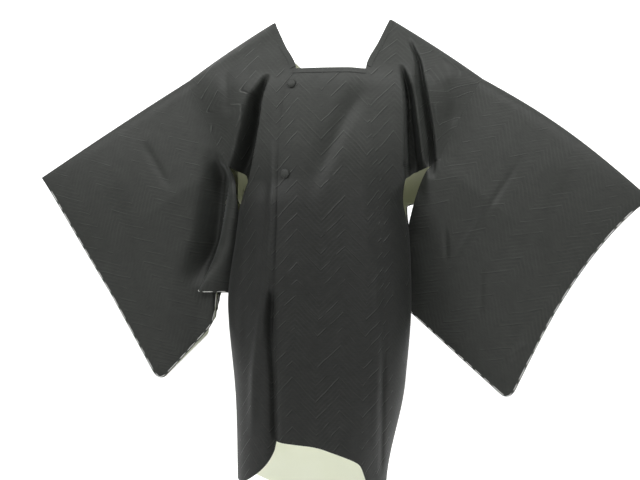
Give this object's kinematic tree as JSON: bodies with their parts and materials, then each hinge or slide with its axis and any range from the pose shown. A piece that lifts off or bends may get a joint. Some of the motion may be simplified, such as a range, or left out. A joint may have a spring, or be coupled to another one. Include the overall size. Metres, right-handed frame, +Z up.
{
  "type": "michiyuki coat",
  "caption": "Square-necked, knee-length outer coat for wear over a kimono, with an overlapped buttoned front and wide sleeves with rounded corners, filled out as worn.",
  "frame": {"origin": "midway between the two shoulder points of the neck, where a wearer's shoulders hold the coat up", "axes": "+X to the wearer's left, along the width of the sleeves; +Y to the wearer's back; +Z up"},
  "size_m": [1.2692, 0.2749, 1.0128],
  "materials": {
    "coat_cloth": "near-black charcoal silk with a tone-on-tone woven chevron ground, soft low sheen",
    "lining": "smooth cream silk lining with a faint yellow-green cast",
    "button_cover": "button covered in the coat's own charcoal silk"
  },
  "bodies": {
    "root": {"body_left": "coat_cloth", "body_right": "coat_cloth", "overlap_left": "coat_cloth", "overlap_right": "coat_cloth", "sleeve_left": "coat_cloth", "sleeve_right": "coat_cloth", "collar_left": "coat_cloth", "collar_right": "coat_cloth", "collar_front": "coat_cloth", "collar_back": "coat_cloth", "lining_back": "lining", "button_upper": "button_cover", "button_lower": "button_cover"}
  },
  "joints": []
}
